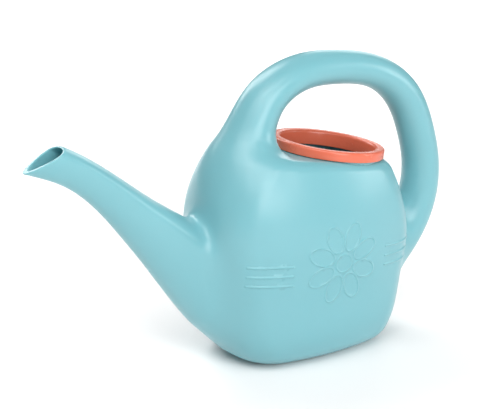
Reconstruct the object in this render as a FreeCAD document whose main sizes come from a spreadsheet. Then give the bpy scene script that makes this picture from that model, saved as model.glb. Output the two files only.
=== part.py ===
import FreeCAD, Part
import Sketcher
import math
import os

# Child's watering can: a blow-moulded bottle with its spout and hollow loop
# handle in one piece, and a pressed-on collar round the filling hole.
#
# Frame: +Z up, origin on the floor at the middle of the base, spout to -X.
# The handle stands over the tank and returns at +X. XZ is the mirror plane.

# Driving dimensions, in millimetres and degrees.
DIMENSIONS = {
    "wall": 2.4,               # thickness of the blow-moulded wall
    "corner_radius": 27.0,     # upright corners of the tank
    "side_crown": 170.0,       # plan radius of the tank's long sides
    "end_crown": 110.0,        # plan radius of the tank's front and back
    "shoulder_radius": 6.0,    # rounding between the walls and the seat
    "base_margin": 17.0,       # rim of the base round its recessed panel
    "base_recess": 2.0,        # depth of that panel
    "seat_x": 19.0,            # centre of the collar's seat
    "seat_z": 130.5,
    "seat_tilt": 9.0,          # the seat leans back by this much
    "seat_trim": 120.0,        # radius of the block that trims the seat
    "neck_outer": 35.55,       # the neck that the collar grips
    "neck_inner": 33.3,
    "neck_rise": 4.4,          # top of the neck above the seat
    "bead_rise": 2.5,          # gripping bead above the seat
    "bead_size": 0.45,
    "bead_half": 0.6,
    "collar_outer": 37.3,
    "collar_bore": 31.2,       # radius of the filling mouth
    "collar_wall": 1.6,
    "collar_gap": 0.3,         # lower edge of the collar above the seat
    "collar_roof": 4.8,        # underside of the collar's top above the seat
    "collar_rise": 6.6,        # top of the collar above the seat
    "skirt_drop": 3.4,         # the inner skirt's reach below the seat
    "groove_depth": 0.55,      # groove that takes the bead
    "groove_half": 0.75,
    "collar_round": 1.4,       # rounding of the collar's top edges
    "lip_x": -191.5,           # lower lip of the pouring mouth
    "lip_z": 147.9,
    "mouth_slope": 26.0,       # the mouth's plane rises this much towards the tank
    "mouth_trim": 40.0,        # radius of the block that trims the mouth
}

# Level sections of the tank: height, front, back and half width.
TANK_KEYS = ("level", "front", "back", "half")
TANK = [
    (0.0, -53.0, 54.3, 34.7),     # base, before its foot is rounded
    (10.0, -61.0, 58.2, 41.2),    # top of the foot
    (45.0, -71.0, 66.0, 46.9),
    (80.0, -77.4, 69.8, 49.0),    # widest
    (112.0, -73.4, 61.3, 45.0),   # shoulder
    (150.0, -47.0, 43.0, 31.5),   # above the seat, which trims it
]

# Oval sections along a tube: centre in the mirror plane, half thickness in
# that plane and half width across it.
TUBE_KEYS = ("x", "z", "thick", "wide")
HANDLE = [
    (-36.0, 97.0, 31.0, 32.0),    # root, inside the tank
    (-48.2, 123.5, 22.9, 25.0),   # leaves the shoulder
    (-41.2, 149.0, 16.1, 18.2),
    (-28.4, 171.3, 13.1, 15.2),   # front bend
    (-5.0, 184.0, 11.7, 13.8),
    (25.0, 185.0, 11.1, 12.3),    # grip
    (58.5, 177.1, 11.0, 12.4),
    (80.1, 159.2, 12.2, 12.6),    # rear bend
    (92.1, 134.0, 12.5, 12.7),
    (97.8, 106.0, 12.8, 13.0),    # rearmost
    (93.9, 81.8, 13.3, 13.5),
    (81.5, 61.0, 13.9, 14.4),
    (65.5, 46.5, 14.6, 15.2),     # meets the back wall
    (46.0, 37.0, 15.0, 16.0),     # foot, inside the tank
]
SPOUT = [
    (-22.0, 33.0, 29.0, 28.0),    # root, inside the tank
    (-43.1, 39.5, 32.0, 27.5),
    (-74.5, 62.3, 26.8, 22.5),    # leaves the tank
    (-98.9, 86.9, 20.3, 17.8),
    (-118.4, 106.2, 15.5, 14.9),
    (-141.9, 129.5, 11.6, 11.5),
    (-163.8, 146.2, 10.6, 9.8),   # neck of the spout
    (-180.3, 154.5, 11.0, 8.8),
    (-198.0, 162.1, 11.6, 7.2),   # past the mouth
]

FOOT_ANGLES = (0, 30, 60)         # sections of the foot's rounding, in degrees
START, END, CENTRE = 1, 2, 3      # points of a sketch's arc
ORIGIN = (-1, 1)                  # the sketch's origin, as a point
X_AXIS, Y_AXIS = -1, -2           # the sketch's axes, as lines


def make_sheet(doc):
    """Put every driving dimension in the sheet under an alias of its own."""
    values = dict(DIMENSIONS)
    for stem, keys, rows in (("tank", TANK_KEYS, TANK),
                             ("handle", TUBE_KEYS, HANDLE),
                             ("spout", TUBE_KEYS, SPOUT)):
        for number, row in enumerate(rows):
            for key, value in zip(keys, row):
                values[f"{stem}_{number}_{key}"] = value
    sheet = doc.addObject("Spreadsheet::Sheet", "Dims")
    for line, (alias, value) in enumerate(values.items(), start=1):
        sheet.set(f"A{line}", alias)
        sheet.set(f"B{line}", str(value))
        sheet.setAlias(f"B{line}", alias)
    doc.recompute()


def place(item, body, role, position, axis, turn):
    """Attach an item to one of its body's origin planes, moved and turned.

    position holds expressions for the plane's own x, y and z, and turn is
    an angle in degrees about axis, also in the plane's frame.
    """
    plane = next(o for o in body.Origin.OriginFeatures if o.Role == role)
    item.AttachmentSupport = [(plane, "")]
    item.MapMode = "FlatFace"
    item.AttachmentOffset = FreeCAD.Placement(
        FreeCAD.Vector(), FreeCAD.Rotation(FreeCAD.Vector(*axis), 1.0))
    item.setExpression("AttachmentOffset.Rotation.Angle", turn)
    for name, expression in zip("xyz", position):
        item.setExpression(f"AttachmentOffset.Base.{name}", expression)


def place_level(item, body, x, z, turn="0"):
    """Lay an item flat at x, z in the mirror plane, leaning towards +X by turn."""
    place(item, body, "XY_Plane", (x, "0", z), (0, 1, 0), turn)


def place_upright(item, body, x, z, turn):
    """Stand an item in the mirror plane at x, z, leaning towards +X by turn."""
    place(item, body, "XZ_Plane", (x, z, "0"), (0, 0, 1), f"-({turn})")


def dimension(sketch, expression, kind, *where):
    """Add a driving dimension and bind it to an expression."""
    value = float(sketch.evalExpression(expression))
    index = sketch.addConstraint(Sketcher.Constraint(kind, *where, value))
    sketch.setExpression(f"Constraints[{index}]", expression)


def relate(sketch, kind, *where):
    """Add a geometric constraint."""
    sketch.addConstraint(Sketcher.Constraint(kind, *where))


def arc(centre_x, centre_y, radius, start, end):
    circle = Part.Circle(FreeCAD.Vector(centre_x, centre_y, 0),
                         FreeCAD.Vector(0, 0, 1), radius)
    return Part.ArcOfCircle(circle, start, end)


def draw_crowned_rectangle(sketch, half_length, half_width, inset):
    """A rectangle with crowned sides and round corners: eight tangent arcs."""
    reach_x = f"{half_length} - Dims.end_crown"
    reach_y = f"{half_width} - Dims.side_crown"
    end_radius = f"Dims.end_crown - ({inset})"
    side_radius = f"Dims.side_crown - ({inset})"
    corner_radius = f"Dims.corner_radius - ({inset})"
    end_x, side_y, end_r, side_r, corner_r = (
        float(sketch.evalExpression(e))
        for e in (reach_x, reach_y, end_radius, side_radius, corner_radius))

    # A corner's centre lies at a known distance from both crowns' centres.
    apart = math.hypot(end_x, side_y)
    to_end = end_r - corner_r
    to_side = side_r - corner_r
    along = (to_end ** 2 - to_side ** 2 + apart ** 2) / (2 * apart)
    across = math.sqrt(to_end ** 2 - along ** 2)
    unit_x, unit_y = -end_x / apart, side_y / apart
    corner_x = end_x + along * unit_x - across * unit_y
    corner_y = along * unit_y + across * unit_x
    low = math.atan2(corner_y, corner_x - end_x)
    high = math.atan2(corner_y - side_y, corner_x)

    half_turn = math.pi
    arcs = [
        arc(end_x, 0, end_r, -low, low),
        arc(corner_x, corner_y, corner_r, low, high),
        arc(0, side_y, side_r, high, half_turn - high),
        arc(-corner_x, corner_y, corner_r, half_turn - high, half_turn - low),
        arc(-end_x, 0, end_r, half_turn - low, half_turn + low),
        arc(-corner_x, -corner_y, corner_r, half_turn + low, half_turn + high),
        arc(0, -side_y, side_r, half_turn + high, -high),
        arc(corner_x, -corner_y, corner_r, -high, -low),
    ]
    sketch.addGeometry(arcs, False)
    for number in range(len(arcs)):
        relate(sketch, "Tangent", number, END, (number + 1) % len(arcs), START)
    for number in (0, 4):
        relate(sketch, "PointOnObject", number, CENTRE, X_AXIS)
        dimension(sketch, end_radius, "Radius", number)
    for number in (2, 6):
        relate(sketch, "PointOnObject", number, CENTRE, Y_AXIS)
        dimension(sketch, side_radius, "Radius", number)
    for number in (1, 3, 5, 7):
        dimension(sketch, corner_radius, "Radius", number)
    dimension(sketch, reach_x, "DistanceX", *ORIGIN, 0, CENTRE)
    dimension(sketch, f"-({reach_x})", "DistanceX", *ORIGIN, 4, CENTRE)
    dimension(sketch, reach_y, "DistanceY", *ORIGIN, 2, CENTRE)
    dimension(sketch, f"-({reach_y})", "DistanceY", *ORIGIN, 6, CENTRE)


def draw_oval(sketch, thick, wide):
    """An ellipse about the sketch's origin, with half sizes along x and y."""
    across = float(sketch.evalExpression(thick))
    up = float(sketch.evalExpression(wide))
    ends = [FreeCAD.Vector(across, 0, 0), FreeCAD.Vector(0, up, 0)]
    sizes = [thick, wide]
    directions = ["Horizontal", "Vertical"]
    if up > across:
        for pair in (ends, sizes, directions):
            pair.reverse()
    sketch.addGeometry(Part.Ellipse(*ends, FreeCAD.Vector()), False)
    sketch.exposeInternalGeometry(0)
    major_line, minor_line = 1, 2
    relate(sketch, "Coincident", 0, CENTRE, *ORIGIN)
    relate(sketch, directions[0], major_line)
    dimension(sketch, f"2 * ({sizes[0]})", "Distance", major_line)
    dimension(sketch, f"2 * ({sizes[1]})", "Distance", minor_line)


def draw_polygon(sketch, corners):
    """A closed outline through corners, each an x and a y expression."""
    points = [FreeCAD.Vector(float(sketch.evalExpression(x)),
                             float(sketch.evalExpression(y)), 0)
              for x, y in corners]
    lines = [Part.LineSegment(a, b) for a, b in zip(points, points[1:] + points[:1])]
    sketch.addGeometry(lines, False)
    for number in range(len(lines)):
        relate(sketch, "Coincident", number, END, (number + 1) % len(lines), START)
    for number, (x, y) in enumerate(corners):
        dimension(sketch, x, "DistanceX", *ORIGIN, number, START)
        dimension(sketch, y, "DistanceY", *ORIGIN, number, START)


def add_loft(body, name, sketches):
    loft = body.newObject("PartDesign::AdditiveLoft", name)
    loft.Profile = (sketches[0], [""])
    loft.Sections = [(sketch, [""]) for sketch in sketches[1:]]
    body.Document.recompute()
    return loft


def add_fillet(body, name, base, radius, wanted):
    """Round the edges of base for which wanted(edge) is true."""
    edges = [f"Edge{number}" for number, edge in enumerate(base.Shape.Edges, start=1)
             if wanted(edge)]
    fillet = body.newObject("PartDesign::Fillet", name)
    fillet.Base = (base, edges)
    fillet.setExpression("Radius", radius)
    body.Document.recompute()
    return fillet


def add_cylinder(body, kind, name, radius, height, x, z, turn):
    cylinder = body.newObject(f"PartDesign::{kind}", name)
    cylinder.setExpression("Radius", radius)
    cylinder.setExpression("Height", height)
    place_level(cylinder, body, x, z, turn)
    body.Document.recompute()
    return cylinder


def add_revolution(body, name, corners):
    """Turn an outline of radius and height round the tilted axis of the seat."""
    sketch = body.newObject("Sketcher::SketchObject", f"{name}_outline")
    place_upright(sketch, body, "Dims.seat_x", "Dims.seat_z", "Dims.seat_tilt")
    draw_polygon(sketch, corners)
    ring = body.newObject("PartDesign::Revolution", name)
    ring.Profile = (sketch, [""])
    ring.ReferenceAxis = (sketch, ["V_Axis"])
    ring.Angle = 360.0
    body.Document.recompute()
    return ring


def tank_sketch(body, name, sizes, level, inward):
    """A level section of the tank, drawn in from its full size by inward."""
    front, back, half = sizes
    sketch = body.newObject("Sketcher::SketchObject", name)
    place_level(sketch, body, f"({back} + {front}) / 2", level)
    draw_crowned_rectangle(sketch, f"({back} - {front}) / 2", half, inward)
    return sketch


def foot_sizes(level):
    """Front, back and half width of the tank's wall between base and foot top."""
    share = f"({level}) / Dims.tank_1_level"
    return [f"(Dims.tank_0_{key} + (Dims.tank_1_{key} - Dims.tank_0_{key}) * {share})"
            for key in TANK_KEYS[1:]]


def add_tank(body, inset):
    """The tank with its round foot, trimmed at the seat and recessed at the base."""
    radius = f"(Dims.tank_1_level - {inset})"
    foot = []
    for angle in FOOT_ANGLES:
        level = f"{inset} + {radius} * (1 - cos({angle}))"
        inward = f"{inset} + {radius} * (1 - sin({angle}))"
        foot.append(tank_sketch(body, f"foot_section_{angle}",
                                foot_sizes(level), level, inward))
    walls = []
    for number in range(1, len(TANK)):
        sizes = [f"Dims.tank_{number}_{key}" for key in TANK_KEYS[1:]]
        walls.append(tank_sketch(body, f"wall_section_{number}",
                                 sizes, f"Dims.tank_{number}_level", inset))
    add_loft(body, "foot", foot + walls[:1])
    add_loft(body, "walls", walls)

    up_x = "sin(Dims.seat_tilt)"
    up_z = "cos(Dims.seat_tilt)"
    trim = add_cylinder(body, "SubtractiveCylinder", "seat_trim",
                        "Dims.seat_trim", "Dims.seat_trim",
                        f"Dims.seat_x - {inset} * {up_x}",
                        f"Dims.seat_z - {inset} * {up_z}", "Dims.seat_tilt")
    lowest = trim.Placement.Base.z - trim.Radius.Value
    centre = trim.Placement.Base
    normal = trim.Placement.Rotation.multVec(FreeCAD.Vector(0, 0, 1))

    def on_seat(edge):
        offsets = [abs((v.Point - centre).dot(normal)) for v in edge.Vertexes]
        return max(offsets) < 0.01 and edge.BoundBox.ZMin > lowest

    add_fillet(body, "shoulder", trim, f"Dims.shoulder_radius - {inset}", on_seat)

    panel = tank_sketch(body, "base_panel", foot_sizes("0"), "0",
                        f"Dims.base_margin - {inset}")
    recess = body.newObject("PartDesign::Pocket", "base_recess")
    recess.Profile = (panel, [""])
    recess.Reversed = True
    recess.setExpression("Length", f"Dims.base_recess + {inset}")
    body.Document.recompute()


def add_tube(body, stem, rows, inset):
    """Loft a tube through its oval sections, each square to the line through
    its neighbours."""
    last = len(rows) - 1
    sketches = []
    for number in range(len(rows)):
        here = f"Dims.{stem}_{number}"
        before = f"Dims.{stem}_{max(number - 1, 0)}"
        after = f"Dims.{stem}_{min(number + 1, last)}"
        turn = f"atan2({after}_x - {before}_x; {after}_z - {before}_z)"
        sketch = body.newObject("Sketcher::SketchObject", f"{stem}_section_{number}")
        place_level(sketch, body, f"{here}_x", f"{here}_z", turn)
        draw_oval(sketch, f"{here}_thick - {inset}", f"{here}_wide - {inset}")
        sketches.append(sketch)
    add_loft(body, stem, sketches)


def build_form(doc, name, inset):
    """Tank, handle and spout as one solid, drawn in by inset from the outer skin."""
    body = doc.addObject("PartDesign::Body", name)
    add_tank(body, inset)
    add_tube(body, "handle", HANDLE, inset)
    add_tube(body, "spout", SPOUT, inset)
    return body


def build_can_body(doc):
    """The blow-moulded bottle: an outer form less the hollow inside it."""
    skin = build_form(doc, "skin", "0")
    add_cylinder(skin, "SubtractiveCylinder", "mouth_trim",
                 "Dims.mouth_trim", "Dims.mouth_trim",
                 "Dims.lip_x", "Dims.lip_z", "-Dims.mouth_slope")
    bead_low = "Dims.bead_rise - Dims.bead_half"
    bead_high = "Dims.bead_rise + Dims.bead_half"
    neck_root = "Dims.neck_outer / 2"
    add_revolution(skin, "neck", [
        (neck_root, "-Dims.wall"),
        ("Dims.neck_outer", "-Dims.wall"),
        ("Dims.neck_outer", bead_low),
        ("Dims.neck_outer + Dims.bead_size", "Dims.bead_rise"),
        ("Dims.neck_outer", bead_high),
        ("Dims.neck_outer", "Dims.neck_rise"),
        (neck_root, "Dims.neck_rise"),
    ])

    hollow = build_form(doc, "hollow", "Dims.wall")
    add_cylinder(hollow, "AdditiveCylinder", "fill_hole",
                 "Dims.neck_inner", "4 * Dims.neck_rise",
                 "Dims.seat_x - 2 * Dims.neck_rise * sin(Dims.seat_tilt)",
                 "Dims.seat_z - 2 * Dims.neck_rise * cos(Dims.seat_tilt)",
                 "Dims.seat_tilt")
    bottle = doc.addObject("Part::Cut", "can_body")
    bottle.Base = skin
    bottle.Tool = hollow
    doc.recompute()
    return bottle


def build_fill_collar(doc):
    """The pressed-on collar: an upside-down channel that grips the neck."""
    collar = doc.addObject("PartDesign::Body", "fill_collar")
    skirt_face = "Dims.collar_bore + Dims.collar_wall"
    rim_face = "Dims.collar_outer - Dims.collar_wall"
    groove_low = "Dims.bead_rise - Dims.groove_half"
    groove_high = "Dims.bead_rise + Dims.groove_half"
    ring = add_revolution(collar, "channel", [
        ("Dims.collar_bore", "-Dims.skirt_drop"),
        (skirt_face, "-Dims.skirt_drop"),
        (skirt_face, "Dims.collar_roof"),
        (rim_face, "Dims.collar_roof"),
        (rim_face, groove_high),
        (f"{rim_face} + Dims.groove_depth", groove_high),
        (f"{rim_face} + Dims.groove_depth", groove_low),
        (rim_face, groove_low),
        (rim_face, "Dims.collar_gap"),
        ("Dims.collar_outer", "Dims.collar_gap"),
        ("Dims.collar_outer", "Dims.collar_rise"),
        ("Dims.collar_bore", "Dims.collar_rise"),
    ])
    tilt = math.radians(DIMENSIONS["seat_tilt"])
    seat = FreeCAD.Vector(DIMENSIONS["seat_x"], 0, DIMENSIONS["seat_z"])
    up = FreeCAD.Vector(math.sin(tilt), 0, math.cos(tilt))

    def on_top(edge):
        height = (edge.Vertexes[0].Point - seat).dot(up)
        closed = edge.isClosed() and hasattr(edge.Curve, "Radius")
        return closed and abs(height - DIMENSIONS["collar_rise"]) < 0.01

    add_fillet(collar, "top_round", ring, "Dims.collar_round", on_top)
    return collar


def check(doc, parts):
    """Stop if any object failed, or if a sub-part isn't one valid solid."""
    for item in doc.Objects:
        if "Invalid" in item.State or "Error" in item.State:
            raise RuntimeError(f"{item.Name} failed: {item.State}")
    for part in parts:
        shape = part.Shape
        if shape.isNull() or not shape.isValid() or len(shape.Solids) != 1:
            raise RuntimeError(f"{part.Label} isn't one valid solid")


def main():
    doc = FreeCAD.newDocument("watering_can")
    make_sheet(doc)
    parts = [build_can_body(doc), build_fill_collar(doc)]
    doc.recompute()
    check(doc, parts)
    os.makedirs("parts", exist_ok=True)
    for part in parts:
        part.Shape.exportStep(f"parts/{part.Label}.step")
        box = part.Shape.BoundBox
        print(f"{part.Label}: {part.Shape.Volume:.0f} mm3,"
              f" {box.XLength:.1f} x {box.YLength:.1f} x {box.ZLength:.1f} mm")


main()
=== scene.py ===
import math

import bmesh
import bpy
import numpy as np
import openvdb as vdb
from mathutils import Matrix, Vector


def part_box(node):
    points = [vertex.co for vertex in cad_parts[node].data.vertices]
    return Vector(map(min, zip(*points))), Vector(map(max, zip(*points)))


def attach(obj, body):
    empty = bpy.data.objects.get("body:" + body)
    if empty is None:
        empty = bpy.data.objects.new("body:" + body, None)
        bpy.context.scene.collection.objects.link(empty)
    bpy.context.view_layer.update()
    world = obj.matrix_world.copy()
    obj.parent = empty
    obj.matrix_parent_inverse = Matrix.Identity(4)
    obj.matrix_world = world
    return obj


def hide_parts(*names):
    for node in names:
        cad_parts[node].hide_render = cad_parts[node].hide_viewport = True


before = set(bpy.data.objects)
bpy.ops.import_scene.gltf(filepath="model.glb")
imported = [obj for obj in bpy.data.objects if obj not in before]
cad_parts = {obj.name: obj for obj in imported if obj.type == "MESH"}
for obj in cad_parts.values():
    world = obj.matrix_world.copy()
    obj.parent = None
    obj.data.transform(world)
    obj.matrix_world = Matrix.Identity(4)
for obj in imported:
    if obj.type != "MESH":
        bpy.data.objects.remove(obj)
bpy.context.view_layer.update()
CAN_LOW, CAN_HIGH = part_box("can_body")

# The can's skin is one smooth form: tank, handle and spout are distance
# functions in millimetres, melted into each other, meshed, and moved exactly
# onto the surface. The collar is a turned ring. Sizes repeat the CAD part's.
MM = 0.001
WALL = 2.4

# Level sections of the tank: height, front, back and half width.
TANK = [
    (0.0, -53.0, 54.3, 34.7),
    (10.0, -61.0, 58.2, 41.2),
    (45.0, -71.0, 66.0, 46.9),
    (80.0, -77.4, 69.8, 49.0),
    (112.0, -73.4, 61.3, 45.0),
    (150.0, -47.0, 43.0, 31.5),
]
# Oval sections along the handle and the spout: centre in the mirror plane,
# half thickness in that plane, half width across it, and how far above the
# centre the section is widest, as a share of its half thickness.
HANDLE = [
    (-36.0, 97.0, 31.0, 32.0, 0.0),
    (-48.2, 123.5, 22.9, 25.0, 0.0),
    (-41.2, 149.0, 16.1, 18.2, 0.0),
    (-28.4, 171.3, 13.1, 15.2, 0.0),
    (-5.0, 184.0, 11.7, 13.8, 0.0),
    (25.0, 185.0, 11.1, 12.3, 0.0),
    (58.5, 177.1, 11.0, 12.4, 0.0),
    (80.1, 159.2, 12.2, 12.6, 0.0),
    (92.1, 134.0, 12.5, 12.7, 0.0),
    (97.8, 106.0, 12.8, 13.0, 0.0),
    (93.9, 81.8, 13.3, 13.5, 0.0),
    (81.5, 61.0, 13.9, 14.4, 0.0),
    (65.5, 46.5, 14.6, 15.2, 0.0),
    (46.0, 37.0, 15.0, 16.0, 0.0),
]
SPOUT = [
    (-22.0, 33.0, 29.0, 28.0, 0.0),
    (-43.1, 39.5, 32.0, 27.5, 0.1),
    (-74.5, 62.3, 26.8, 22.5, 0.3),
    (-98.9, 86.9, 20.3, 17.8, 0.4),
    (-118.4, 106.2, 15.5, 14.9, 0.45),
    (-141.9, 129.5, 11.6, 11.5, 0.45),
    (-163.8, 146.2, 10.6, 9.8, 0.45),
    (-180.3, 154.5, 11.0, 8.8, 0.45),
    (-198.0, 162.1, 11.6, 7.2, 0.45),
]
# Radii of the tank's upright corners, its crowned sides and ends, its foot and
# its shoulder.
CORNER, SIDE_CROWN, END_CROWN = 27.0, 170.0, 110.0
FOOT, SHOULDER = 10.0, 6.0

# How widely the creases are filled: round the handle's foot, the same close to
# the collar, and round the spout's root. The first takes over from the second
# within BLEND_RUN of the collar.
HANDLE_BLEND, COLLAR_BLEND, SPOUT_BLEND = 18.0, 5.0, 11.0
BLEND_RUN = 14.0

# The recessed panel of the base: how far in from the edge, how deep, how soft.
BASE_MARGIN, BASE_RECESS, BASE_SOFTNESS = 17.0, 2.0, 2.0

# The collar's seat and the neck on it, which starts NECK_ROOT below the seat. The
# bore is longer than the neck at both ends. Both are cut open at NECK_CUT, among
# the faces between the levels of NECK_BAND and up to NECK_MARGIN outside the neck.
SEAT_X, SEAT_Z, SEAT_TILT = 19.0, 130.5, math.radians(9.0)
NECK_OUTER, NECK_INNER, NECK_RISE, NECK_ROOT = 35.55, 33.3, 4.4, 1.0
BORE_TOP, BORE_DEPTH = 9.0, 6.0
NECK_CUT, NECK_MARGIN, NECK_BAND = 4.2, 0.8, (2.0, 12.0)

# The plane of the pouring mouth, and the radius of its lip.
LIP_X, LIP_Z, MOUTH_SLOPE, LIP_ROUND = -191.5, 147.9, math.radians(26.0), 0.7
LIP_DEPTH = 6.0                # the lip's own normals reach this far below the plane
# The wall thins towards the mouth, and thickens again at its pouring tip.
LIP_WALL, LIP_START, LIP_RUN = 1.5, -150.0, 20.0
TIP_WALL, TIP_START, TIP_RUN = 2.8, -175.0, 12.0
# The spout's end is meshed more finely, from a seam square across it, where a gap
# is left and bridged. It all lies in front of MOUTH_ZONE, and its grid reaches
# from SEAM_DROP below the seam up to MOUTH_TOP, and MOUTH_HALF to each side.
MOUTH_ZONE, ZONE_MARGIN = -120.0, 5.0
SEAM_X, SEAM_Z, SEAM_GAP, SEAM_DROP = -158.0, 141.8, 0.8, 25.0
MOUTH_TOP, MOUTH_HALF = 170.0, 16.0

# The collar, in radius and height above the seat.
COLLAR_OUTER, COLLAR_BORE, COLLAR_WALL = 37.3, 31.2, 1.6
COLLAR_GAP, COLLAR_ROOF, COLLAR_RISE, SKIRT_DROP = 0.3, 4.8, 6.6, 3.4
COLLAR_SIDES = 180             # flats round the ring
# The moulding stands off the collar by this, up to this height above the seat.
COLLAR_CLEARANCE, CLEARANCE_TOP, CLEARANCE_SOFTNESS = 0.5, 9.0, 1.2

# Raised decoration on both sides: three ribs each side of a daisy. Whatever is
# further than SIDE_Y from the mirror plane belongs to a side.
RELIEF, SIDE_Y = 0.5, 15.0
RIB_LEVELS, RIB_START, RIB_END, RIB_HALF = (61.6, 68.0, 74.4), 36.0, 64.0, 1.1
RIB_SLANT = 0.075
DAISY_Z, PETALS, PETAL_REACH, PETAL_LONG, PETAL_WIDE = 71.0, 8, 17.6, 9.2, 5.6
DISC, STROKE_HALF = 6.0, 0.9

# Meshing: the grids' steps and margins round the can, how close to an edge a
# mesh is refined, once for each value, and how close points are merged.
OUTER_STEP, INNER_STEP, LIP_STEP = 2.1, 3.4, 0.55
LOW_MARGIN, HIGH_MARGIN = (14, 6, 5), 6
STROKE_REFINING, RIB_REFINING, COLLAR_REFINING = (1.8, 0.8), (0.3,), (4.0, 2.5)
CUT_MERGE, RIM_MERGE = 0.02, 0.15

# The camera looks this far round from +Y towards +X, and down by this much. All
# from here on is in metres.
VIEW_TURN, VIEW_DROP = math.radians(31.3), math.radians(18.3)
VIEW_AIM, VIEW_DISTANCE = Vector((-0.0166, 0.0501, 0.0849)), 0.907
LENS, SENSOR = 100.0, 36.0     # millimetres

# Softboxes stand on a ball round the can: turn to the right of the camera's side
# and lift above level, in degrees, then power in watts and side in metres.
LIGHT_AIM, LIGHT_DISTANCE, LOWEST_LIGHT = Vector((-0.02, 0.0, 0.09)), 1.5, 0.35
SOFTBOXES = {
    "key": (30, 21, 11.2, 0.8),
    "front_top": (5, 48, 9.5, 0.9),
    "left_top": (-35, 55, 6.5, 0.8),
    "right_side": (90, 14, 5.7, 0.6),
    "left_back": (-140, 28, 6.0, 0.6),
    "back_top": (-140, 54, 8.2, 0.7),
    "back": (165, 22, 3.0, 0.6),
}
# One more hangs over the floor behind the can, aimed straight down.
FAR_AWAY, FAR_UP, FAR_SIZE, FAR_POWER, FAR_SPREAD = 2.1, 1.2, (2.4, 1.6), 30, 100
WORLD_STRENGTH = 0.2
FLOOR_HALF, FLOOR_COLOUR = 4.0, (0.94, 0.92, 0.915, 1)


# ---- distance functions ------------------------------------------------------

def spline(knots, values):
    """A natural cubic spline through values, one row per knot, as a function."""
    knots = np.asarray(knots, float)
    values = np.asarray(values, float)
    step = np.diff(knots)
    slope = np.diff(values, axis=0) / step[:, None]
    last = len(knots) - 1
    matrix = np.eye(last + 1)
    right = np.zeros_like(values)
    for i in range(1, last):
        matrix[i, i - 1:i + 2] = step[i - 1], 2 * (step[i - 1] + step[i]), step[i]
        right[i] = 6 * (slope[i] - slope[i - 1])
    bend = np.linalg.solve(matrix, right)

    def at(query):
        query = np.clip(query, knots[0], knots[-1])
        i = np.clip(np.searchsorted(knots, query) - 1, 0, last - 1)
        a = (knots[i + 1] - query)[..., None]
        b = (query - knots[i])[..., None]
        h = step[i][..., None]
        cubic = (bend[i] * a ** 3 + bend[i + 1] * b ** 3) / (6 * h)
        start = (values[i] / h - bend[i] * h / 6) * a
        end = (values[i + 1] / h - bend[i + 1] * h / 6) * b
        return cubic + start + end
    return at


class Tube:
    """An oval tube along a smooth line in the mirror plane."""

    SAMPLES = 480
    COARSE = 6                 # every so many samples for the first search
    CHUNK = 40000              # points searched at a time
    NEWTON_ROUNDS, LONGEST_MOVE, LEAST_STIFFNESS = 4, 6, 0.25

    def __init__(self, stations):
        rows = np.array(stations)
        gaps = np.hypot(*np.diff(rows[:, :2], axis=0).T)
        knots = np.concatenate([[0.0], np.cumsum(gaps)])
        self.run = np.linspace(0, knots[-1], self.SAMPLES)
        self.rows = spline(knots, rows)(self.run)
        self.first = np.gradient(self.rows[:, :2], self.run, axis=0)
        self.second = np.gradient(self.first, self.run, axis=0)

    def read(self, table, s):
        """A table's columns at places along the line."""
        return np.stack([np.interp(s, self.run, column) for column in table.T], -1)

    def nearest(self, points):
        """The place on the line nearest to each point: a coarse search, then Newton."""
        s = np.empty(len(points))
        line = self.rows[::self.COARSE, :2]
        for start in range(0, len(points), self.CHUNK):
            part = slice(start, start + self.CHUNK)
            gap = ((points[part, None] - line[None]) ** 2).sum(-1)
            s[part] = self.run[::self.COARSE][gap.argmin(1)]
        for _ in range(self.NEWTON_ROUNDS):
            away = points - self.read(self.rows[:, :2], s)
            first = self.read(self.first, s)
            stiff = (first ** 2).sum(-1) - (away * self.read(self.second, s)).sum(-1)
            move = (away * first).sum(-1) / np.maximum(stiff, self.LEAST_STIFFNESS)
            move = np.clip(move, -self.LONGEST_MOVE, self.LONGEST_MOVE)
            s = np.clip(s + move, 0, self.run[-1])
        return s

    def locate(self, x, z):
        """Height above the line in the mirror plane, and the section's sizes."""
        points = np.stack([x, z], -1).reshape(-1, 2)
        s = self.nearest(points)
        row = self.read(self.rows, s)
        first = self.read(self.first, s)
        away = points - row[:, :2]
        over = away[:, 0] * first[:, 1] - away[:, 1] * first[:, 0] > 0
        height = np.where(over, 1, -1) * np.hypot(*away.T)
        return [v.reshape(np.shape(x)) for v in (height, *row.T[2:])]


def oval_distance(place, y):
    """First-order distance to an oval section, widest at its lift."""
    height, thick, wide, lift = place
    height = height - lift * thick
    thick = thick * np.where(height > 0, 1 - lift, 1 + lift)
    ring = np.sqrt((height / thick) ** 2 + (y / wide) ** 2)
    pull = np.sqrt((height / thick ** 2) ** 2 + (y / wide ** 2) ** 2)
    near_line = ring < 0.05
    return np.where(near_line, (ring - 1) * np.minimum(thick, wide),
                    ring * (ring - 1) / np.maximum(pull, 1e-6))


def crowned_rectangle(x, y, half_length, half_width):
    """Distance to a rectangle with crowned sides and round corners."""
    x, y = np.abs(x), np.abs(y)
    end_x = half_length - END_CROWN
    side_y = half_width - SIDE_CROWN
    to_end = END_CROWN - CORNER
    to_side = SIDE_CROWN - CORNER
    apart = np.hypot(end_x, side_y)
    along = (to_end ** 2 - to_side ** 2 + apart ** 2) / (2 * apart)
    across = np.sqrt(to_end ** 2 - along ** 2)
    corner_x = end_x - along * end_x / apart - across * side_y / apart
    corner_y = along * side_y / apart - across * end_x / apart
    end = np.hypot(x - end_x, y) - END_CROWN
    side = np.hypot(x, y - side_y) - SIDE_CROWN
    corner = np.hypot(x - corner_x, y - corner_y) - CORNER
    below = (corner_x - end_x) * y < corner_y * (x - end_x)
    above = x * (corner_y - side_y) < (y - side_y) * corner_x
    return np.where(below, end, np.where(above, side, corner))


def smooth_min(a, b, size):
    """The union of two forms, with the crease between them filled."""
    mix = np.maximum(size - np.abs(a - b), 0) / size
    return np.minimum(a, b) - mix ** 2 * size / 4


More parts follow.
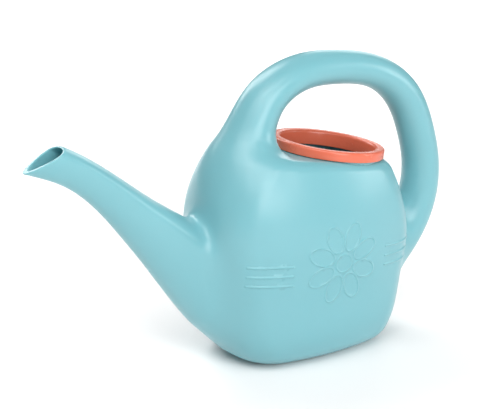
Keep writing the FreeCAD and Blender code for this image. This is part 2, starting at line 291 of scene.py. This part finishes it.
def smooth_max(a, b, size):
    """The space inside two forms, with the edge between them softened."""
    return -smooth_min(-a, -b, size)


def round_max(a, b, radius):
    """The space inside two forms, with the edge between them rounded."""
    a, b = a + radius, b + radius
    outside = np.hypot(np.maximum(a, 0), np.maximum(b, 0))
    return np.minimum(np.maximum(a, b), 0) + outside - radius


def seat_place(x, y, z):
    """Radius from the axis of the seat, and height above it."""
    x, z = x - SEAT_X, z - SEAT_Z
    height = x * math.sin(SEAT_TILT) + z * math.cos(SEAT_TILT)
    aside = x * math.cos(SEAT_TILT) - z * math.sin(SEAT_TILT)
    return np.hypot(aside, y), height


def ease(value):
    """A smooth step from 0 to 1."""
    value = np.clip(value, 0, 1)
    return value ** 2 * (3 - 2 * value)


def wall_at(x):
    """Thickness of the wall, which changes only near the pouring mouth."""
    return (WALL + (LIP_WALL - WALL) * ease((LIP_START - x) / LIP_RUN)
            + (TIP_WALL - LIP_WALL) * ease((TIP_START - x) / TIP_RUN))


def mouth_plane(x, z):
    """Height above the plane of the pouring mouth."""
    return (z - LIP_Z) * math.cos(MOUTH_SLOPE) - (x - LIP_X) * math.sin(MOUTH_SLOPE)


handle_tube = Tube(HANDLE)
spout_tube = Tube(SPOUT)
tank_sizes = spline([row[0] for row in TANK], [row[1:] for row in TANK])


def form(x, y, z, handle, spout):
    """The closed outer form: tank, spout and handle melted together."""
    front, back, half = np.moveaxis(tank_sizes(z), -1, 0)
    wall = crowned_rectangle(x - (front + back) / 2, y, (back - front) / 2, half)
    radius, height = seat_place(x, y, z)
    body = round_max(wall, height, SHOULDER)
    body = smooth_min(body, oval_distance(spout, y), SPOUT_BLEND)
    blend = (COLLAR_BLEND + (HANDLE_BLEND - COLLAR_BLEND)
             * ease((radius - COLLAR_OUTER) / BLEND_RUN))
    body = smooth_min(body, oval_distance(handle, y), blend)
    body = round_max(body, -z, FOOT)
    room = np.maximum(radius - COLLAR_OUTER - COLLAR_CLEARANCE,
                      np.maximum(COLLAR_GAP - height, height - CLEARANCE_TOP))
    body = smooth_max(body, -room, CLEARANCE_SOFTNESS)
    _, front, back, half = TANK[0]
    panel = crowned_rectangle(x - (front + back) / 2, y, (back - front) / 2, half)
    recess = np.maximum(panel + BASE_MARGIN, z - BASE_RECESS)
    return smooth_max(body, -recess, BASE_SOFTNESS)


def outer_side(x, y, z, handle, spout):
    """The outside of the moulding, with its neck and its raised decoration."""
    radius, height = seat_place(x, y, z)
    neck = np.maximum(radius - NECK_OUTER,
                      np.maximum(height - NECK_RISE, -height - NECK_ROOT))
    return np.minimum(form(x, y, z, handle, spout) - relief(x, y, z), neck)


def inner_side(x, y, z, handle, spout):
    """The hollow of the moulding, with the bore of its neck."""
    radius, height = seat_place(x, y, z)
    bore = np.maximum(radius - NECK_INNER,
                      np.maximum(height - BORE_TOP, -height - BORE_DEPTH))
    return np.minimum(form(x, y, z, handle, spout) + wall_at(x), bore)


def spout_lip(x, y, z, handle, spout):
    """The spout's wall with the round lip of the pouring mouth."""
    skin = form(x, y, z, handle, spout)
    middle = wall_at(x) / 2
    shell = np.abs(skin + middle) - middle
    return round_max(shell, mouth_plane(x, z), LIP_ROUND)


# ---- decoration --------------------------------------------------------------

def rib_gap(x, z):
    """How far a point of the side is past the edge of the nearest rib."""
    middle, reach = (RIB_END + RIB_START) / 2, (RIB_END - RIB_START) / 2
    past = np.maximum(np.abs(np.abs(x) - middle) - reach, 0)
    slant = RIB_SLANT * (x - np.sign(x) * RIB_START)
    gaps = [np.hypot(past, z + slant - level) - RIB_HALF for level in RIB_LEVELS]
    return np.min(gaps, axis=0)


def stroke_gap(x, z):
    """How far a point of the side is past the edge of the nearest rib or petal."""
    gaps = [rib_gap(x, z)]
    z = z - DAISY_Z
    gaps.append(np.abs(np.hypot(x, z) - DISC) - STROKE_HALF)
    for number in range(PETALS):
        turn = 2 * math.pi * (number + 0.5) / PETALS
        along = x * math.cos(turn) + z * math.sin(turn) - PETAL_REACH
        aside = z * math.cos(turn) - x * math.sin(turn)
        ring = np.hypot(along / PETAL_LONG, aside / PETAL_WIDE)
        pull = np.hypot(along / PETAL_LONG ** 2, aside / PETAL_WIDE ** 2)
        outline = ring * (ring - 1) / np.maximum(pull, 1e-3)
        gaps.append(np.abs(outline) - STROKE_HALF)
    return np.min(gaps, axis=0)


def relief(x, y, z):
    """Height of the raised decoration, on the two sides only."""
    inside = ease(-stroke_gap(x, z) / STROKE_HALF)
    return np.where(np.abs(y) > SIDE_Y, RELIEF * inside, 0)


# ---- meshing -----------------------------------------------------------------

def value_at(function, points):
    x, y, z = points.T
    return function(x, y, z, handle_tube.locate(x, z), spout_tube.locate(x, z))


def value_and_slope(function, points, reach=0.05):
    """A distance function's value and gradient, from the corners of a tetrahedron."""
    corners = np.array([(1, -1, -1), (-1, -1, 1), (-1, 1, -1), (1, 1, 1)])
    values = [value_at(function, points + reach * corner) for corner in corners]
    slope = sum(v[:, None] * c for v, c in zip(values, corners)) / (4 * reach)
    return sum(values) / 4, slope


def settle(function, points, rounds=3):
    """Move points onto the surface where the function is zero."""
    flattest = 0.2
    for _ in range(rounds):
        value, slope = value_and_slope(function, points)
        move = value / np.maximum((slope ** 2).sum(-1), flattest)
        points = points - move[:, None] * slope
    return points


def surface(function, step, low, high):
    """Quads over the zero surface of a distance function, from a grid of its values."""
    xs, ys, zs = (np.arange(a, b, step) for a, b in zip(low, high))
    flat_x, flat_z = np.meshgrid(xs, zs, indexing="ij")
    handle = [v[:, None, :] for v in handle_tube.locate(flat_x, flat_z)]
    spout = [v[:, None, :] for v in spout_tube.locate(flat_x, flat_z)]
    x, y, z = np.broadcast_arrays(xs[:, None, None], ys[None, :, None], zs[None, None])
    values = function(x, y, z, handle, spout)
    band = 3 * step
    grid = vdb.FloatGrid(background=band)
    grid.copyFromArray(np.clip(values, -band, band).astype(np.float32))
    points, quads = grid.convertToQuads(0.0)
    return points * step + low, quads


def mesh_from(points, faces):
    """A mesh being built, from points and faces."""
    mesh = bpy.data.meshes.new("draft")
    mesh.from_pydata(points.tolist(), [], faces.tolist())
    built = bmesh.new()
    built.from_mesh(mesh)
    bpy.data.meshes.remove(mesh)
    return built


def places(built):
    return np.array([v.co for v in built.verts])


def move_to(verts, points):
    for vert, point in zip(verts, points.tolist()):
        vert.co = point


def refine(built, near):
    """Halve the edges whose two ends are both near."""
    flags = near(places(built))
    built.verts.index_update()
    edges = [e for e in built.edges
             if flags[e.verts[0].index] and flags[e.verts[1].index]]
    bmesh.ops.subdivide_edges(built, edges=edges, cuts=1, use_grid_fill=True)


def near_stroke(margin, gap=stroke_gap):
    """Says which points lie near the raised decoration."""
    def near(points):
        x, y, z = points.T
        return (gap(x, z) < margin) & (np.abs(y) > SIDE_Y)
    return near


def near_collar(margin):
    """Says which points lie near the seat's edge and the foot of the room round it."""
    middle, reach = 2, 3       # in height above the seat

    def near(points):
        radius, height = seat_place(*points.T)
        edge = COLLAR_OUTER + COLLAR_CLEARANCE
        level = np.abs(height - middle) < margin + reach
        return (np.abs(radius - edge) < margin) & level
    return near


def trim(built, point, normal, wanted):
    """Cut away what lies beyond a plane, among the wanted faces."""
    faces = [f for f in built.faces if wanted(f.calc_center_median())]
    # Keys keep their order, which a set's members don't, so each run's mesh is the same.
    edges = dict.fromkeys(e for f in faces for e in f.edges)
    verts = dict.fromkeys(v for f in faces for v in f.verts)
    bmesh.ops.bisect_plane(built, geom=[*verts, *edges, *faces], plane_co=point,
                           plane_no=normal, clear_outer=True, dist=CUT_MERGE)
    loose = [v for v in built.verts if not v.link_faces]
    bmesh.ops.delete(built, geom=loose, context="VERTS")
    rim = [v for v in built.verts if v.is_boundary]
    bmesh.ops.remove_doubles(built, verts=rim, dist=RIM_MERGE)


def open_neck(built):
    """Cut the neck or its bore open, square to the axis of the seat."""
    up = Vector((math.sin(SEAT_TILT), 0, math.cos(SEAT_TILT)))

    def in_neck(place):
        radius, height = seat_place(*place)
        return radius < NECK_OUTER + NECK_MARGIN and NECK_BAND[0] < height < NECK_BAND[1]

    trim(built, Vector((SEAT_X, 0, SEAT_Z)) + up * NECK_CUT, up, in_neck)


def cut_spout(built, outward, gap=0.0):
    """Cut the spout square across at its seam: 1 drops the mouth's side, -1 the tank's."""
    along = Vector(spout_tube.read(
        spout_tube.first, spout_tube.nearest(np.array([[SEAM_X, SEAM_Z]])))[0])
    normal = Vector((along.x, 0, along.y)).normalized() * outward
    trim(built, Vector((SEAM_X, 0, SEAM_Z)) - normal * gap, normal,
         lambda place: place.x < MOUTH_ZONE + ZONE_MARGIN)


def add_mesh(built, extra):
    """Put another mesh's faces into the one being built."""
    draft = bpy.data.meshes.new("draft")
    extra.to_mesh(draft)
    extra.free()
    built.from_mesh(draft)
    bpy.data.meshes.remove(draft)


def on_outside(points):
    """Which points lie nearer to the outside of the moulding than to its hollow."""
    return np.abs(value_at(outer_side, points)) < np.abs(value_at(inner_side, points))


def bridge(built, wanted):
    """Join the two open rims among the boundary edges that are wanted."""
    edges = [e for e in built.edges if e.is_boundary]
    middles = np.array([(e.verts[0].co + e.verts[1].co) / 2 for e in edges])
    bmesh.ops.bridge_loops(
        built, edges=[e for e, want in zip(edges, wanted(middles)) if want])


def make_skin():
    """The bottle as one closed mesh: outside, hollow and neck, and a finer spout end."""
    low = np.array(CAN_LOW) / MM - LOW_MARGIN
    high = np.array(CAN_HIGH) / MM + HIGH_MARGIN
    outer = mesh_from(*surface(outer_side, OUTER_STEP, low, high))
    for margin in STROKE_REFINING:
        refine(outer, near_stroke(margin))
    for margin in RIB_REFINING:
        refine(outer, near_stroke(margin, rib_gap))
    for margin in COLLAR_REFINING:
        refine(outer, near_collar(margin))
    move_to(outer.verts, settle(outer_side, places(outer)))
    open_neck(outer)
    cut_spout(outer, 1)

    inner = mesh_from(*surface(inner_side, INNER_STEP, low, high))
    move_to(inner.verts, settle(inner_side, places(inner)))
    open_neck(inner)
    cut_spout(inner, 1)

    mouth_low = (low[0], -MOUTH_HALF, SEAM_Z - SEAM_DROP)
    mouth_high = (MOUTH_ZONE, MOUTH_HALF, MOUTH_TOP)
    lip = mesh_from(*surface(spout_lip, LIP_STEP, mouth_low, mouth_high))
    move_to(lip.verts, settle(spout_lip, places(lip)))
    cut_spout(lip, -1, SEAM_GAP)

    add_mesh(outer, inner)
    bridge(outer, lambda points: points[:, 0] > MOUTH_ZONE)
    add_mesh(outer, lip)
    bridge(outer, on_outside)
    bridge(outer, lambda points: ~on_outside(points))
    bmesh.ops.recalc_face_normals(outer, faces=outer.faces)

    points = places(outer)
    outside = on_outside(points)
    normals = -value_and_slope(inner_side, points)[1]
    normals[outside] = value_and_slope(outer_side, points[outside])[1]
    at_lip = ((points[:, 0] < MOUTH_ZONE)
              & (mouth_plane(points[:, 0], points[:, 2]) > -LIP_DEPTH))
    normals[at_lip] = value_and_slope(spout_lip, points[at_lip])[1]
    normals /= np.linalg.norm(normals, axis=1)[:, None]

    mesh = bpy.data.meshes.new("can_skin")
    outer.to_mesh(mesh)
    outer.free()
    mesh.transform(Matrix.Scale(MM, 4))
    mesh.shade_smooth()
    mesh.normals_split_custom_set_from_vertices(normals.tolist())
    skin = bpy.data.objects.new("can_skin", mesh)
    bpy.context.scene.collection.objects.link(skin)
    return skin


# ---- collar ------------------------------------------------------------------

def rounded(corner, before, after, radius, parts=5):
    """Points of the arc that rounds a corner of an outline."""
    corner, before, after = (np.array(p, float) for p in (corner, before, after))
    back = (before - corner) / np.linalg.norm(before - corner)
    on = (after - corner) / np.linalg.norm(after - corner)
    half = math.acos(np.clip(back @ on, -1, 1)) / 2
    centre = corner + (back + on) / np.linalg.norm(back + on) * radius / math.sin(half)
    start = corner + back * radius / math.tan(half) - centre
    end = corner + on * radius / math.tan(half) - centre
    sweep = math.pi - 2 * half
    points = []
    for share in np.linspace(0, 1, parts + 1):
        mix = math.sin((1 - share) * sweep) * start + math.sin(share * sweep) * end
        points.append(centre + mix / math.sin(sweep))
    return points


def make_collar():
    """The collar: an outline with rounded corners, turned about the seat's axis."""
    skirt, rim = COLLAR_BORE + COLLAR_WALL, COLLAR_OUTER - COLLAR_WALL
    corners = [                # radius, height, rounding
        (COLLAR_BORE, -SKIRT_DROP, 0.5),
        (skirt, -SKIRT_DROP, 0.5),
        (skirt, COLLAR_ROOF, 0.3),
        (rim, COLLAR_ROOF, 0.3),
        (rim, COLLAR_GAP, 0.3),
        (COLLAR_OUTER, COLLAR_GAP, 0.4),
        (COLLAR_OUTER, COLLAR_RISE, 1.6),
        (COLLAR_BORE, COLLAR_RISE, 2.0),
    ]
    outline = []
    for number, (radius, height, rounding) in enumerate(corners):
        before = corners[number - 1][:2]
        after = corners[(number + 1) % len(corners)][:2]
        outline += rounded((radius, height), before, after, rounding)
    outline = np.array(outline)
    around = np.linspace(0, 2 * math.pi, COLLAR_SIDES, endpoint=False)
    aside = outline[:, 0] * np.cos(around)[:, None]
    across = outline[:, 0] * np.sin(around)[:, None]
    rise = np.broadcast_to(outline[:, 1], aside.shape)
    x = SEAT_X + aside * math.cos(SEAT_TILT) + rise * math.sin(SEAT_TILT)
    z = SEAT_Z - aside * math.sin(SEAT_TILT) + rise * math.cos(SEAT_TILT)
    points = np.stack([x, across, z], -1).reshape(-1, 3) * MM
    turns, count = aside.shape
    here = np.arange(turns * count).reshape(turns, count)
    on = np.roll(here, -1, axis=0)
    quads = np.stack([here, on, np.roll(on, -1, axis=1), np.roll(here, -1, axis=1)], -1)
    mesh = bpy.data.meshes.new("collar_ring")
    mesh.from_pydata(points.tolist(), [], quads.reshape(-1, 4).tolist())
    built = bmesh.new()
    built.from_mesh(mesh)
    bmesh.ops.recalc_face_normals(built, faces=built.faces)
    built.to_mesh(mesh)
    built.free()
    mesh.shade_smooth()
    collar = bpy.data.objects.new("collar_ring", mesh)
    bpy.context.scene.collection.objects.link(collar)
    return collar


# ---- materials ---------------------------------------------------------------

def add_noise(tree, place, scale, detail):
    """Noise in the object's own coordinates."""
    noise = tree.nodes.new("ShaderNodeTexNoise")
    noise.inputs["Scale"].default_value = scale
    noise.inputs["Detail"].default_value = detail
    tree.links.new(place.outputs["Object"], noise.inputs["Vector"])
    return noise.outputs["Fac"]


def add_bump(tree, height, strength, distance):
    """A bump from a height, at a strength, over a distance in metres."""
    bump = tree.nodes.new("ShaderNodeBump")
    bump.inputs["Strength"].default_value = strength
    bump.inputs["Distance"].default_value = distance
    tree.links.new(height, bump.inputs["Height"])
    return bump


def moulded_plastic(name, colour, tint, roughness, subsurface, radius):
    """Semi-gloss moulded plastic: faint mottling, varied gloss and a fine skin."""
    material = bpy.data.materials.new(name)
    material.use_nodes = True
    tree = material.node_tree
    nodes, links = tree.nodes, tree.links
    shader = nodes["Principled BSDF"]
    shader.inputs["IOR"].default_value = 1.5
    shader.inputs["Subsurface Weight"].default_value = subsurface
    shader.inputs["Subsurface Radius"].default_value = radius
    shader.inputs["Subsurface Scale"].default_value = 0.004
    place = nodes.new("ShaderNodeTexCoord")

    mottle = add_noise(tree, place, scale=38.0, detail=4.0)
    mix = nodes.new("ShaderNodeMix")
    mix.data_type = "RGBA"
    mix.inputs["A"].default_value = (*colour, 1)
    mix.inputs["B"].default_value = (*tint, 1)
    links.new(mottle, mix.inputs["Factor"])
    links.new(mix.outputs["Result"], shader.inputs["Base Color"])

    spread = 0.04              # of the roughness, either way
    gloss = nodes.new("ShaderNodeMapRange")
    gloss.inputs["To Min"].default_value = roughness - spread
    gloss.inputs["To Max"].default_value = roughness + spread
    patches = add_noise(tree, place, scale=95.0, detail=3.0)
    links.new(patches, gloss.inputs["Value"])
    links.new(gloss.outputs["Result"], shader.inputs["Roughness"])

    grain = add_noise(tree, place, scale=1400.0, detail=2.0)
    fine = add_bump(tree, grain, strength=0.06, distance=0.0002)
    swell = add_noise(tree, place, scale=55.0, detail=1.0)
    broad = add_bump(tree, swell, strength=0.05, distance=0.002)
    links.new(fine.outputs["Normal"], broad.inputs["Normal"])
    links.new(broad.outputs["Normal"], shader.inputs["Normal"])
    return material


# ---- stage, lights and camera ------------------------------------------------

def make_floor():
    """A plain pale floor under the can."""
    mesh = bpy.data.meshes.new("floor")
    half, level = FLOOR_HALF, CAN_LOW.z
    corners = [(-half, -half, level), (half, -half, level),
               (half, half, level), (-half, half, level)]
    mesh.from_pydata(corners, [], [(0, 1, 2, 3)])
    floor = bpy.data.objects.new("floor", mesh)
    bpy.context.scene.collection.objects.link(floor)
    material = bpy.data.materials.new("floor_paint")
    material.use_nodes = True
    shader = material.node_tree.nodes["Principled BSDF"]
    shader.inputs["Base Color"].default_value = FLOOR_COLOUR
    shader.inputs["Roughness"].default_value = 0.7
    shader.inputs["Specular IOR Level"].default_value = 0.2
    mesh.materials.append(material)
    return floor


def add_softbox(name, place, aim, size, power, spread=180):
    """A rectangular soft light at a place, aimed at another."""
    light = bpy.data.lights.new(name, "AREA")
    light.spread = math.radians(spread)
    light.shape = "RECTANGLE"
    light.size, light.size_y = size
    light.energy = power
    lamp = bpy.data.objects.new(name, light)
    lamp.location = place
    lamp.rotation_mode = "QUATERNION"
    lamp.rotation_quaternion = (Vector(aim) - Vector(place)).to_track_quat("-Z", "Y")
    bpy.context.scene.collection.objects.link(lamp)


def hang_softbox(name, turn, lift, power, side):
    """A square softbox at a turn to the right of the camera's side, and a lift."""
    turn = math.radians(turn) - VIEW_TURN
    lift = math.radians(lift)
    away = Vector((math.sin(turn) * math.cos(lift),
                   -math.cos(turn) * math.cos(lift), math.sin(lift)))
    place = LIGHT_AIM + away * LIGHT_DISTANCE
    place.z = max(place.z, LOWEST_LIGHT)
    add_softbox(name, place, LIGHT_AIM, (side, side), power)


def light_far_floor():
    """Light the floor behind the can, so that it is as pale as in front."""
    below = Vector((math.sin(VIEW_TURN), math.cos(VIEW_TURN), 0)) * FAR_AWAY
    above = below + Vector((0, 0, FAR_UP))
    add_softbox("far_floor", above, below, FAR_SIZE, FAR_POWER, FAR_SPREAD)


def make_world():
    """An even white surround."""
    world = bpy.data.worlds.new("studio")
    world.use_nodes = True
    sky = world.node_tree.nodes["Background"]
    sky.inputs["Color"].default_value = (1, 1, 1, 1)
    sky.inputs["Strength"].default_value = WORLD_STRENGTH
    bpy.context.scene.world = world


def make_camera():
    """The camera, looking down at the can from its front left."""
    ahead = Vector((math.sin(VIEW_TURN) * math.cos(VIEW_DROP),
                    math.cos(VIEW_TURN) * math.cos(VIEW_DROP), -math.sin(VIEW_DROP)))
    data = bpy.data.cameras.new("camera")
    data.lens, data.sensor_width = LENS, SENSOR
    camera = bpy.data.objects.new("camera", data)
    camera.location = VIEW_AIM - ahead * VIEW_DISTANCE
    camera.rotation_mode = "QUATERNION"
    camera.rotation_quaternion = ahead.to_track_quat("-Z", "Y")
    bpy.context.scene.collection.objects.link(camera)
    bpy.context.scene.camera = camera


make_camera()
make_world()
for name, settings in SOFTBOXES.items():
    hang_softbox(name, *settings)
light_far_floor()
bpy.context.scene.view_settings.view_transform = "Standard"

can_plastic = moulded_plastic(
    "can_plastic", colour=(0.168, 0.409, 0.455), tint=(0.178, 0.424, 0.471),
    roughness=0.3, subsurface=0.25, radius=(0.6, 1.0, 1.0))
collar_plastic = moulded_plastic(
    "collar_plastic", colour=(0.65, 0.138, 0.076), tint=(0.68, 0.15, 0.083),
    roughness=0.26, subsurface=0.1, radius=(1.0, 0.5, 0.3))

skin = make_skin()
skin.data.materials.append(can_plastic)
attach(skin, "root")
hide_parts("can_body")

collar = make_collar()
collar.data.materials.append(collar_plastic)
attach(collar, "root")
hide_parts("fill_collar")

make_floor()
